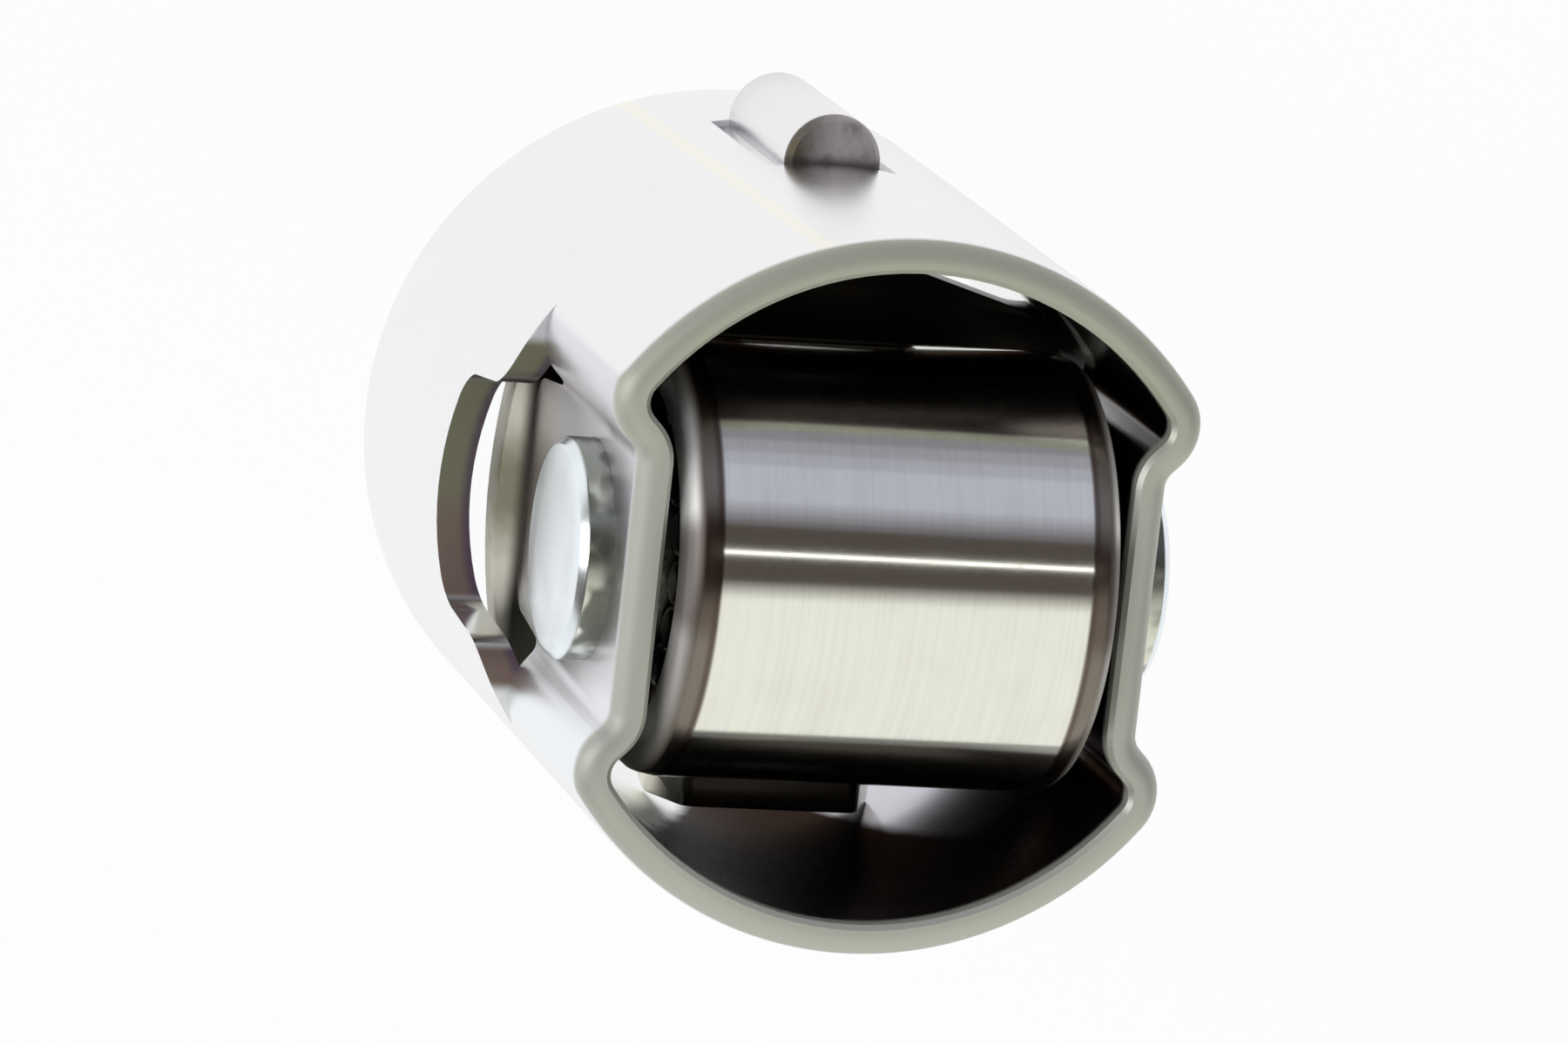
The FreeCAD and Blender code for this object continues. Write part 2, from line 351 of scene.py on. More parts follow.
@dataclass(frozen=True)
class HousingSteel:
    """Drawn sheet steel: ground guide wall, satin rim and flats, dark inside, sheared cuts.

    Sizes are in millimetres and angles in radians. A fade is the two values at which a mask
    is none and full. Those of the guide, the bore's edge and the rim count from there, and
    those of the slots' top and of the painted light in the bore from the skirt's edge in the
    slots.
    """

    guide_radius: float
    bore_radius: float
    rim_height: float
    slot_height: float
    ground: Colour = (0.93, 0.93, 0.94)
    satin: Colour = (0.80, 0.79, 0.84)
    # painted light that brightens the flats towards -Y
    satin_bright: Colour = (0.94, 0.97, 1.0)
    rim: Colour = (0.57, 0.58, 0.535)
    rim_shade: Colour = (0.57, 0.585, 0.50)
    # pale cream of the painted highlight line on the guide wall
    rubbed: Colour = (0.97, 0.955, 0.86)
    inside_dull: Colour = (0.64, 0.63, 0.69)
    # near white of the painted light patches in the bore
    inside_bright: Colour = (0.97, 0.98, 0.97)
    inside_oily: Colour = (0.075, 0.068, 0.064)
    inside_brown: Colour = (0.115, 0.10, 0.09)
    oil_edge: Colour = (0.31, 0.29, 0.285)
    sheared_olive: Colour = (0.23, 0.23, 0.155)
    sheared_brown: Colour = (0.22, 0.155, 0.135)
    sheared_edge: Colour = (0.10, 0.065, 0.115)
    guide_fade: Span = (-0.12, -0.02)
    inside_fade: Span = (-0.12, -0.4)
    rim_fade: Span = (-1.1, -0.55)
    rim_shade_fade: Span = (5.0, 12.0)
    bright_flat_fade: Span = (-2.5, -7.5)
    upward_fade: Span = (0.55, 0.85)
    slot_top_fade: Span = (5.3, 5.1)
    slot_end_fade: Span = (7.1, 7.7)
    sheared_fade: Span = (-3.5, 0.5)
    bore_edge_fade: Span = (0.55, 0.1)
    tab_lean: float = 0.39
    tab_side_fade: Span = (2.4, 3.4)
    right_film_fade: Span = (12.0, 3.0)
    left_film_fade: Span = (16.0, 11.0)
    skirt_film_fade: Span = (-1.0, -3.0)
    dull_fade_x: Span = (-3.5, -1.0)
    dull_fade_y: Span = (2.0, 0.0)
    hook_place: float = 0.625
    hook_height: float = 20.6
    hook_climb: float = 8.07
    hook_fade: Span = (1.3, 0.5)
    hook_middle: float = 0.735
    hook_end_fade: Span = (0.13, 0.11)
    rub_place: float = 1.908
    rub_lean: float = 0.0016
    rub_fade: Span = (0.035, 0.008)

    def material(self) -> bpy.types.Material:
        """Build the material.

        Returns:
            The material, with the oily film laid over the bare steel.
        """
        g = Graph("housing_steel")
        at = self._read(g)
        on_guide = at.radius.ramp(*self.guide_fade, self.guide_radius)
        on_inside = at.outward.ramp(*self.inside_fade)
        on_rim = at.z.ramp(*self.rim_fade, self.rim_height) * (1 - on_guide)
        in_slot = at.z.ramp(*self.slot_top_fade, self.slot_height)
        cut = at.upward.ramp(*self.upward_fade) * in_slot
        cut_end = cut * at.y.size().ramp(*self.slot_end_fade)
        cut = cut - cut_end
        # painted highlight: the hook line joins the painted light and is made less metallic
        hook_highlight = self._hook(at) * on_inside
        # painted light: pale patches beside the tab, low in the skirt and along the hook, where
        # the bore stays bare and bright
        painted_light = (self._clean(at) + hook_highlight).capped()
        colour = g.blend(on_guide, self._satin(g, at), self._guide(g, at))
        colour = g.blend(on_inside, colour, self._inside(g, at))
        colour = g.blend(on_rim, colour, self._rim(g, at))
        colour = g.blend(cut, colour, self._sheared(g, at))
        roughness = 0.26 + at.cloud * 0.10 - on_guide * 0.08 - on_inside * 0.10
        roughness = roughness + on_rim * 0.24 + cut * 0.3
        draw_marks = g.noise(g.vector(at.around * 40.0, at.z * 0.15, 0.0), 1.0, 4.0)
        ground_marks = g.noise(g.vector(at.around * 1.5, at.z * 9.0, 0.0), 1.0, 4.0)
        marks = draw_marks * (1 - on_guide) + ground_marks * on_guide
        normal = g.bump(marks, distance=0.01, strength=0.25)
        bare = g.steel({}, {
            "Base Color": colour, "Roughness": roughness, "Normal": normal,
            "Metallic": 1 - on_rim * 0.45 - cut * 0.6 - cut_end * 0.7 - hook_highlight * 0.8})
        dark_steel = g.steel({"Metallic": 1.0, "Specular Tint": (*self.oil_edge, 1.0)}, {
            "Base Color": g.blend(at.cloud, self.inside_oily, self.inside_brown),
            "Roughness": roughness + 0.06, "Normal": normal})
        # the film is dark brown steel over the bore, except on the rim and where light is
        # painted
        film = on_inside * (1 - painted_light) * (1 - on_rim)
        return g.close(g.layered(film, bare, dark_steel))

    def _read(self, g: Graph) -> WallPoint:
        """Work out what the masks and colours are made from.

        Args:
            g: the material's graph.

        Returns:
            The numbers at the point on the surface.
        """
        point = g.millimetres()
        x, y, z = g.parts(point)
        normal_x, normal_y, normal_z = g.facing()
        radius = (x * x + y * y).root()
        outward = (x * normal_x + y * normal_y) / radius
        cloud = g.noise(point, 0.35, 4.0)
        return WallPoint(x, y, z, radius, y.angle_from(x), outward, normal_z, cloud)

    def _clean(self, at: WallPoint) -> Quantity:
        """Find the painted light on the bore: pale patches beside the tab at -Y, and low down
        in the skirt.

        Args:
            at: the point of the wall.

        Returns:
            1 where light is painted.
        """
        light_edge_height = at.z + at.cloud * 2.0 - 1.0
        beside_tab = at.x.size() - (light_edge_height - self.slot_height) * self.tab_lean
        right = light_edge_height.ramp(*self.right_film_fade, self.slot_height) * (at.x > 0)
        left = light_edge_height.ramp(*self.left_film_fade, self.slot_height) * (at.x < 0)
        beside = beside_tab.ramp(*self.tab_side_fade) * (at.y < 0) * (right + left)
        return beside + light_edge_height.ramp(*self.skirt_film_fade, self.slot_height)

    def _hook(self, at: WallPoint) -> Quantity:
        """Find the painted highlight: a pale line that climbs the bore near the rim.

        Args:
            at: the point of the wall.

        Returns:
            1 on the line.
        """
        climb = (at.around - self.hook_place) * self.hook_climb
        from_line = (at.z - self.hook_height - climb).size()
        from_middle = (at.around - self.hook_middle).size()
        return from_line.ramp(*self.hook_fade) * from_middle.ramp(*self.hook_end_fade)

    def _guide(self, g: Graph, at: WallPoint) -> bpy.types.NodeSocket:
        """Colour the ground guide wall: bright, with one upright painted highlight line."""
        # painted highlight: a pale cream upright line on the guide wall, standing in for a
        # reflection
        highlight_distance = (at.around - self.rub_place + at.z * self.rub_lean).size()
        return g.blend(highlight_distance.ramp(*self.rub_fade), self.ground, self.rubbed)

    def _satin(self, g: Graph, at: WallPoint) -> bpy.types.NodeSocket:
        """Colour the flats and bends, with painted light that brightens them towards -Y."""
        return g.blend(at.y.ramp(*self.bright_flat_fade), self.satin, self.satin_bright)

    def _inside(self, g: Graph, at: WallPoint) -> bpy.types.NodeSocket:
        """Colour the painted light patches of the bore, with painted shade towards +X and -Y.
        """
        # painted shade within the painted light patches, towards +X and -Y
        dull = at.x.ramp(*self.dull_fade_x) * at.y.ramp(*self.dull_fade_y)
        return g.blend(1 - dull, self.inside_dull, self.inside_bright)

    def _rim(self, g: Graph, at: WallPoint) -> bpy.types.NodeSocket:
        """Colour the rounded rim, a little more olive towards the key."""
        shade = (at.y + at.cloud * 3.0).ramp(*self.rim_shade_fade)
        return g.blend(shade, self.rim, self.rim_shade)

    def _sheared(self, g: Graph, at: WallPoint) -> bpy.types.NodeSocket:
        """Colour the sheared edges of the slots.

        Args:
            g: the material's graph.
            at: the point of the wall.

        Returns:
            Brown to olive along the cut, and dark along the bore.
        """
        olive = (at.y + at.cloud * 4.0 - 2.0).ramp(*self.sheared_fade)
        sheared = g.blend(olive, self.sheared_brown, self.sheared_olive)
        dark = at.radius.ramp(*self.bore_edge_fade, self.bore_radius) * 0.8
        return g.blend(dark, sheared, self.sheared_edge)


@dataclass(frozen=True)
class GroundRoller:
    """Finely ground ring: marks run round it, and its end bands are duller and browner.

    Sizes are in millimetres, and places round the axis are in radians from straight up to
    +Y. The fades of the band and of the step count from the band's start.
    """

    axis_height: float
    band_start: float
    crown: Colour = (0.84, 0.84, 0.82)
    band: Colour = (0.22, 0.19, 0.17)
    step: Colour = (0.10, 0.075, 0.065)
    # face is the near white of the painted highlight on the end faces
    face: Colour = (0.97, 0.98, 0.98)
    face_dull: Colour = (0.50, 0.485, 0.475)
    band_fade: Span = (-0.02, 0.08)
    step_rise: Span = (-0.12, 0.02)
    step_fall: Span = (0.34, 0.14)
    corner_fade: Span = (0.22, 0.5)
    face_fade: Span = (0.35, 0.8)
    streak_fade: Span = (0.35, 0.8)
    cloud_fade: Span = (0.45, 0.7)
    bright_middle: float = 0.9
    bright_fade: Span = (0.68, 0.45)
    worn_middle: float = 0.12
    worn_fade: Span = (0.34, 0.18)

    def material(self) -> bpy.types.Material:
        """Build the material.

        Returns:
            The finished material.
        """
        g = Graph("roller_steel")
        point = g.millimetres()
        x, y, z = g.parts(point)
        sideways = g.facing()[0].size()
        around = y.angle_from(z - self.axis_height)
        out = x.size()
        on_corner = sideways.ramp(*self.corner_fade)
        on_face = sideways.ramp(*self.face_fade)
        on_band = out.ramp(*self.band_fade, self.band_start)
        on_step = out.ramp(*self.step_rise, self.band_start)
        on_step = on_step * out.ramp(*self.step_fall, self.band_start)
        streaks = g.noise(g.vector(x * 4.0, around * 0.8, 0.0), 1.0, 5.0, 0.6)
        fine = g.noise(g.vector(x * 16.0, around * 2.0, 0.0), 1.0, 3.0)
        cloud = g.noise(point, 0.4, 3.0)
        colour = g.blend(on_band, self.crown, self.band)
        colour = g.blend(on_step * 0.75, colour, self.step)
        dulled = streaks.ramp(*self.streak_fade) * 0.10 + cloud.ramp(*self.cloud_fade) * 0.04
        colour = g.blend(dulled, colour, self.band)
        # painted highlight: the end face turns near white in a sector round bright_middle, and
        # keeps face_dull elsewhere
        bright = (around - self.bright_middle).size().ramp(*self.bright_fade)
        colour = g.blend(on_face, colour, g.blend(bright, self.face_dull, self.face))
        # painted dark reflection: band and end face darken towards the step's colour in a
        # sector near straight up
        worn = (around - self.worn_middle).size().ramp(*self.worn_fade)
        worn = worn * (on_band + on_face).ramp(0.0, 0.6)
        colour = g.blend(worn * 0.7, colour, self.step)
        roughness = 0.05 + streaks * 0.06 + cloud * 0.05 + on_band * 0.12 + on_corner * 0.22
        return g.close(g.steel({}, {
            "Base Color": colour, "Roughness": roughness, "Metallic": 1 - on_corner * 0.65,
            "Normal": g.bump(fine, distance=0.004, strength=0.14)}))


@dataclass(frozen=True)
class PinSteel:
    """Hardened pin: faint turning rings on its ends, and dull patches round its seats.

    Sizes are in millimetres, and the end's fade counts from its start.
    """

    axis_height: float
    end_start: float
    light: Colour = (0.88, 0.945, 0.98)
    dark: Colour = (0.80, 0.85, 0.89)
    side: Colour = (0.72, 0.73, 0.67)
    side_shade: Colour = (0.33, 0.35, 0.31)
    worn: Colour = (0.12, 0.13, 0.11)
    end_fade: Span = (-0.05, 0.1)
    shade_fade: Span = (-2.0, 1.0)
    dark_fade: Span = (0.35, 0.7)
    worn_fade: Span = (0.44, 0.56)

    def material(self) -> bpy.types.Material:
        """Build the material.

        Returns:
            The finished material.
        """
        g = Graph("pin_steel")
        point = g.millimetres()
        x, y, z = g.parts(point)
        height = z - self.axis_height
        radius = (y * y + height * height).root()
        on_end = x.size().ramp(*self.end_fade, self.end_start)
        cloud = g.noise(point, 0.5, 4.0)
        rings = g.noise(g.vector(radius * 7.0, 0.0, 0.0), 1.0, 3.0)
        patches = g.noise(point, 0.45, 2.0).ramp(*self.worn_fade)
        shade = (y + cloud * 2.0 - 1.0).ramp(*self.shade_fade)
        side = g.blend(shade, self.side, self.side_shade)
        side = g.blend(patches * 0.85, side, self.worn)
        end = g.blend(cloud.ramp(*self.dark_fade) * 0.7, self.light, self.dark)
        colour = g.blend(on_end, side, end)
        roughness = 0.20 + cloud * 0.10 + patches * (1 - on_end) * 0.15
        return g.close(g.steel({"Metallic": 1.0}, {
            "Base Color": colour, "Roughness": roughness,
            "Normal": g.bump(rings * on_end, distance=0.003, strength=0.1)}))


@dataclass(frozen=True)
class BridgeSteel:
    """Stamped plate: dark faces, paler olive-cream sheared ends, painted light on the faces by
    the slots and painted shade across the ends' middle.

    Sizes are in millimetres, and the slot's fade counts from the ends' reach.
    """

    slot_reach: float
    face: Colour = (0.09, 0.082, 0.072)
    end: Colour = (0.98, 0.955, 0.84)
    end_shade: Colour = (0.36, 0.34, 0.25)
    end_fade: Span = (0.5, 0.8)
    slot_fade: Span = (-1.25, -0.6)
    shade_fade: Span = (3.6, 0.6)

    def material(self) -> bpy.types.Material:
        """Build the material.

        Returns:
            The finished material.
        """
        g = Graph("bridge_steel")
        point = g.millimetres()
        x, y, z = g.parts(point)
        cloud = g.noise(point, 0.6, 4.0)
        grain = g.noise(point, 5.0, 3.0)
        lines = g.noise(g.vector(y * 5.0, z * 0.4, 0.0), 1.0, 3.0)
        on_end = g.facing()[0].size().ramp(*self.end_fade)
        # painted light: the faces by the slots take the ends' pale colour
        painted_light_by_slot = x.size().ramp(*self.slot_fade, self.slot_reach)
        # painted shade: the ends darken across their middle, below the pin
        shade = (y + cloud * 2.0 - 1.0).size().ramp(*self.shade_fade)
        end = g.blend(shade, self.end, self.end_shade)
        colour = g.blend(painted_light_by_slot, self.face, end)
        colour = g.blend(on_end, colour, end)
        roughness = 0.26 + cloud * 0.14 + painted_light_by_slot * 0.1
        marks = grain * (1 - on_end) + lines * on_end
        return g.close(g.steel({}, {
            "Base Color": colour, "Roughness": roughness,
            "Metallic": 1 - painted_light_by_slot * 0.6,
            "Normal": g.bump(marks, distance=0.01, strength=0.3)}))


@dataclass(frozen=True)
class KeySteel:
    """Cut-off key: bright drawn sides, and a dull brown end with dark blotches and painted
    shade where it meets the wall.

    Sizes are in millimetres, and the wall's fade counts from the wall's outside.
    """

    guide_radius: float
    side: Colour = (0.90, 0.90, 0.91)
    end: Colour = (0.58, 0.54, 0.56)
    end_olive: Colour = (0.12, 0.10, 0.06)
    lip: Colour = (0.045, 0.035, 0.035)
    end_fade: Span = (0.35, 0.7)
    wall_fade: Span = (0.75, 0.2)
    olive_fade: Span = (1.2, -1.0)
    blotch_fade: Span = (0.45, 0.8)

    def material(self) -> bpy.types.Material:
        """Build the material.

        Returns:
            The finished material.
        """
        g = Graph("key_steel")
        point = g.millimetres()
        x, y = g.parts(point)[:2]
        cloud = g.noise(point, 1.1, 4.0)
        grain = g.noise(point, 8.0, 4.0)
        on_end = g.facing()[2].ramp(*self.end_fade)
        near_wall = (y + cloud * 0.5).ramp(*self.wall_fade, self.guide_radius)
        olive = (x + cloud * 2.0).ramp(*self.olive_fade)
        colour = g.blend(olive, self.end, self.end_olive)
        colour = g.blend(cloud.ramp(*self.blotch_fade) * 0.5, colour, self.lip)
        # painted shade where the end meets the guide wall
        colour = g.blend(near_wall * 0.85, colour, self.lip)
        colour = g.blend(on_end, self.side, colour)
        roughness = 0.22 + cloud * 0.08 + on_end * 0.25
        return g.close(g.steel({}, {
            "Base Color": colour, "Roughness": roughness,
            "Metallic": 1 - on_end * 0.5,
            "Normal": g.bump(grain, distance=0.03, strength=0.5)}))


@dataclass(frozen=True)
class NeedleSteel:
    """Polished bearing steel with a light film of oil."""

    polished: Colour = (0.34, 0.33, 0.32)
    filmed: Colour = (0.18, 0.17, 0.155)
    film_fade: Span = (0.35, 0.7)

    def material(self) -> bpy.types.Material:
        """Build the material.

        Returns:
            The finished material.
        """
        g = Graph("needle_steel")
        point = g.millimetres()
        cloud = g.noise(point, 0.7, 3.0)
        fine = g.noise(point, 9.0, 3.0)
        film = cloud.ramp(*self.film_fade)
        return g.close(g.steel({"Metallic": 1.0}, {
            "Base Color": g.blend(film, self.polished, self.filmed),
            "Roughness": 0.22 + cloud * 0.12,
            "Normal": g.bump(fine, distance=0.004, strength=0.2)}))


def rounded_section(corners: list[tuple[float, float, float]], closed: bool,
                    steps: int = 4) -> list[tuple[float, float]]:
    """Round the corners of a section.

    Args:
        corners: each corner's place along the axis, its distance out and its rounding.
        closed: whether the last corner runs on to the first.
        steps: how many straight lengths make one rounding.

    Returns:
        The stations of the section in order, along and out.
    """
    stations: list[tuple[float, float]] = []
    count = len(corners)
    for i, (along, out, rounding) in enumerate(corners):
        here = Vector((along, out))
        if rounding == 0 or (not closed and i in (0, count - 1)):
            stations.append((along, out))
            continue
        back = (Vector(corners[i - 1][:2]) - here).normalized()
        ahead = (Vector(corners[(i + 1) % count][:2]) - here).normalized()
        half_corner = back.angle(ahead) / 2
        centre = here + (back + ahead).normalized() * (rounding / math.sin(half_corner))
        start = here + back * (rounding / math.tan(half_corner)) - centre
        finish = here + ahead * (rounding / math.tan(half_corner)) - centre
        for step in range(steps + 1):
            spoke = start.lerp(finish, step / steps).normalized() * rounding
            stations.append(tuple(centre + spoke))
    if closed:
        stations.append(stations[0])
    return stations


@dataclass
class Turned:
    """A piece turned about an axis that lies along the pin, in millimetres and degrees."""

    name: str
    stations: list[tuple[float, float]]
    axis_y: float
    axis_z: float
    facets: int
    smooth_angle: float = 28.0

    def build(self) -> bpy.types.Object:
        """Draw the section out ring by ring, then close and smooth it.

        Returns:
            The piece, with its place in its mesh.
        """
        bpy.ops.object.select_all(action="DESELECT")
        along, out = self.stations[0]
        bpy.ops.mesh.primitive_circle_add(
            vertices=self.facets, radius=out * MM, fill_type="NOTHING",
            location=self._on_axis(along), rotation=(0, math.pi / 2, 0))
        piece = bpy.context.object
        piece.name = self.name
        bpy.ops.object.transform_apply(location=True, rotation=True, scale=True)
        bpy.ops.object.mode_set(mode="EDIT")
        bpy.ops.mesh.select_all(action="SELECT")
        for next_along, next_out in self.stations[1:]:
            step = ((next_along - along) * MM, 0, 0)
            bpy.ops.mesh.extrude_edges_move(TRANSFORM_OT_translate={"value": step})
            growth = next_out / out
            bpy.ops.transform.resize(value=(1, growth, growth),
                                     center_override=self._on_axis(next_along))
            along, out = next_along, next_out
        bpy.ops.mesh.select_all(action="SELECT")
        bpy.ops.mesh.remove_doubles(threshold=MERGE_DISTANCE)
        bpy.ops.mesh.fill_holes(sides=0)
        bpy.ops.mesh.select_all(action="SELECT")
        bpy.ops.mesh.normals_make_consistent(inside=False)
        bpy.ops.object.mode_set(mode="OBJECT")
        bpy.ops.object.shade_smooth_by_angle(angle=math.radians(self.smooth_angle))
        return piece

    def _on_axis(self, along: float) -> tuple[float, float, float]:
        """A point of the axis, in metres."""
        return (along * MM, self.axis_y * MM, self.axis_z * MM)


@dataclass
class EdgeBroken:
    """A copy of a CAD node with its sharp edges rounded, in millimetres and degrees."""

    node: str
    name: str
    width: float
    segments: int = 2
    flat_angle: float = 0.5
    sharp_angle: float = 35.0
    smooth_angle: float = 32.0

    def build(self) -> bpy.types.Object:
        """Copy the node, merge its triangles and round its sharp edges.

        Returns:
            The copy, which rides on nothing yet.
        """
        piece = duplicate_of(frame["nodes"][self.node])
        piece.name = self.name
        for key in list(piece.keys()):
            del piece[key]
        bpy.ops.object.parent_clear(type="CLEAR_KEEP_TRANSFORM")
        bpy.ops.mesh.customdata_custom_splitnormals_clear()
        bpy.ops.object.mode_set(mode="EDIT")
        bpy.ops.mesh.select_all(action="SELECT")
        bpy.ops.mesh.remove_doubles(threshold=MERGE_DISTANCE)
        bpy.ops.mesh.dissolve_limited(angle_limit=math.radians(self.flat_angle))
        bpy.ops.mesh.normals_make_consistent(inside=False)
        bpy.ops.object.mode_set(mode="OBJECT")
        rounding = piece.modifiers.new("rounding", "BEVEL")
        rounding.width = self.width * MM
        rounding.segments = self.segments
        rounding.limit_method = "ANGLE"
        rounding.angle_limit = math.radians(self.sharp_angle)
        rounding.harden_normals = False
        bpy.ops.object.modifier_apply(modifier="rounding")
        bpy.ops.object.shade_smooth_by_angle(angle=math.radians(self.smooth_angle))
        return piece


def duplicate_of(source: bpy.types.Object) -> bpy.types.Object:
    """Copy an object with a mesh of its own.

    Args:
        source: the object.

    Returns:
        The copy, which is the only selected object and the active one.
    """
    bpy.ops.object.select_all(action="DESELECT")
    source.select_set(True)
    bpy.context.view_layer.objects.active = source
    bpy.ops.object.duplicate(linked=False)
    return bpy.context.object


def middle_of(node: str) -> Vector:
    """The middle of a CAD node's box, in metres."""
    low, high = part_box(node)
    return (low + high) / 2


def seat(piece: bpy.types.Object, material: bpy.types.Material, node: str, body: str) -> None:
    """Dress a new piece and put it in the place of a CAD node.

    Args:
        piece: the new piece.
        material: its finish.
        node: the node that it stands for.
        body: the body that it rides on.
    """
    piece.data.materials.clear()
    piece.data.materials.append(material)
    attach(piece, body)
    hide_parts(node)
    log.info("%s stands for %s", piece.name, node)


def dress(node: str, material: bpy.types.Material) -> None:
    """Give a CAD node its finish.

    Args:
        node: the node's name.
        material: the finish, which takes every slot that the node has.
    """
    piece = frame["nodes"][node]
    for slot in piece.material_slots:
        slot.material = material
    log.info("%s dressed in %s", node, material.name)


@dataclass
class HousingSet:
    """The drawn housing, with the plunger's bridge and the guide key fixed in it.

    Sizes are in millimetres. The bridge's tabs end at the tab height, and their rise counts
    from the skirt's edge in the slots.
    """

    guide_radius: float
    rim_height: float
    bridge_reach: float
    tab_height: float
    wall: float = 1.4
    tab_rise: float = 3.0
    bridge_edge: float = 0.15
    key_edge: float = 0.12

    def housing_steel(self) -> bpy.types.Material:
        """The finish of the housing, whose CAD shape stays."""
        return HousingSteel(self.guide_radius, self.guide_radius - self.wall,
                            self.rim_height, self.tab_height - self.tab_rise).material()

    def bridge(self) -> bpy.types.Object:
        """The stamped plate with broken edges."""
        return EdgeBroken("thrust_bridge", "plunger_bridge", self.bridge_edge).build()

    def key(self) -> bpy.types.Object:
        """The half-round key with broken edges."""
        return EdgeBroken("guide_key", "half_round_key", self.key_edge).build()

    def build(self) -> None:
        """Build, dress and seat every piece of the set."""
        dress("housing", self.housing_steel())
        bridge_steel = BridgeSteel(self.bridge_reach)
        seat(self.bridge(), bridge_steel.material(), "thrust_bridge", "housing")
        key_steel = KeySteel(self.guide_radius)
        seat(self.key(), key_steel.material(), "guide_key", "housing")


@dataclass
class RollerSet:
    """The cam roller, its needles and the axle pin, all turned about one axis.

    Sizes are in millimetres. A half is half of a length, and the needles' reach is how far
    their outermost lines lie from the axis.
    """

    axis_height: float
    roller_half: float
    roller_radius: float
    pin_half: float
    pin_radius: float
    needle_half: float
    needle_radius: float
    needle_reach: float
    needle_play: float = 0.02
    band_width: float = 1.3
    band_fall: float = 0.24
    shoulder_rounding: float = 0.5
    corner_rounding: float = 0.8
    edge_rounding: float = 0.12
    needle_rounding: float = 0.38
    bore_chamfer: float = 0.4
    pin_chamfer: float = 0.35
    pin_centre_share: float = 0.7
    needle_centre_share: float = 0.45
    roller_facets: int = 192
    pin_facets: int = 128
    needle_facets: int = 28

    def roller(self) -> bpy.types.Object:
        """Turn the ground ring, with a relieved band and a rounded corner at each end.

        Returns:
            The ring.
        """
        half = self.roller_half
        shoulder = half - self.band_width
        crown = self.roller_radius
        fallen = crown - self.band_fall
        bore = self.needle_reach + self.needle_play
        mouth = bore + self.bore_chamfer
        edge = self.edge_rounding
        corners = [
            (-half + self.bore_chamfer, bore, edge), (-half, mouth, edge),
            (-half, fallen, self.corner_rounding), (-shoulder, crown, self.shoulder_rounding),
            (shoulder, crown, self.shoulder_rounding), (half, fallen, self.corner_rounding),
            (half, mouth, edge), (half - self.bore_chamfer, bore, edge)]
        stations = rounded_section(corners, closed=True)
        return Turned("cam_roller", stations, 0.0, self.axis_height,
                      self.roller_facets).build()

    def pin(self) -> bpy.types.Object:
        """Turn the plain pin, with broken edges on its end chamfers.

        Returns:
            The pin.
        """
        half = self.pin_half
        face = self.pin_radius - self.pin_chamfer
        centre = face * self.pin_centre_share
        edge = self.edge_rounding
        corners = [
            (-half, centre, 0), (-half, face, edge),
            (-half + self.pin_chamfer, self.pin_radius, edge),
            (half - self.pin_chamfer, self.pin_radius, edge),
            (half, face, edge), (half, centre, 0)]
        stations = rounded_section(corners, closed=False)
        return Turned("roller_pin", stations, 0.0, self.axis_height, self.pin_facets).build()

    def needle(self, middle: Vector) -> bpy.types.Object:
        """Turn one needle with rounded ends.

        Args:
            middle: the needle's middle, in metres.

        Returns:
            The needle.
        """
        half = self.needle_half
        centre = self.needle_radius * self.needle_centre_share
        corners = [(-half, centre, 0), (-half, self.needle_radius, self.needle_rounding),
                   (half, self.needle_radius, self.needle_rounding), (half, centre, 0)]
        stations = rounded_section(corners, closed=False)
        return Turned("needle", stations, middle.y / MM, middle.z / MM,
                      self.needle_facets).build()

    def needles(self) -> None:
        """Turn one needle, copy it to the places of the others, and dress and seat them."""
        polished = NeedleSteel().material()
        names = sorted(name for name in frame["nodes"] if name.startswith("needle_"))
        first_middle = middle_of(names[0])
        first = self.needle(first_middle)
        copies = [first]
        for name in names[1:]:
            copy = duplicate_of(first)
            bpy.ops.transform.translate(value=middle_of(name) - first_middle)
            bpy.ops.object.transform_apply(location=True, rotation=True, scale=True)
            copies.append(copy)
        for name, piece in zip(names, copies):
            piece.name = f"{name}_rounded"
            seat(piece, polished, name, "needle_set")

    def build(self) -> None:
        """Build, dress and seat every piece of the set."""
        roller_steel = GroundRoller(self.axis_height, self.roller_half - self.band_width)
        seat(self.roller(), roller_steel.material(), "roller", "roller")
        pin_steel = PinSteel(self.axis_height, self.pin_half - self.pin_chamfer)
        seat(self.pin(), pin_steel.material(), "axle_pin", "housing")
        self.needles()


class Glow(Enum):
    """Colours of the studio's lamps."""

    CREAM = (0.985, 1.0, 0.905)
    LAVENDER = (0.80, 0.85, 1.0)
    WHITE = (1.0, 1.0, 1.0)


@dataclass
class Lamp:
    """A soft box that faces the tappet."""

    name: str
    direction: tuple[float, float, float]
    distance: float
    width: float
    height: float
    radiance: float
    glow: Glow

    def build(self, target: Vector) -> None:
        """Hang the lamp.

        Args:
            target: the point that it faces.
        """
        data = bpy.data.lights.new(self.name, "AREA")
        data.shape = "RECTANGLE"
        data.size = self.width
        data.size_y = self.height
        data.energy = self.radiance * math.pi * self.width * self.height
        data.color = self.glow.value
        lamp = bpy.data.objects.new(self.name, data)
        bpy.context.scene.collection.objects.link(lamp)
        back = Vector(self.direction).normalized()
        along = (Vector((1, 0, 0)) - back * back.x).normalized()
        lamp.matrix_world = placed(target + back * self.distance, along, back)
        lamp.visible_camera = False


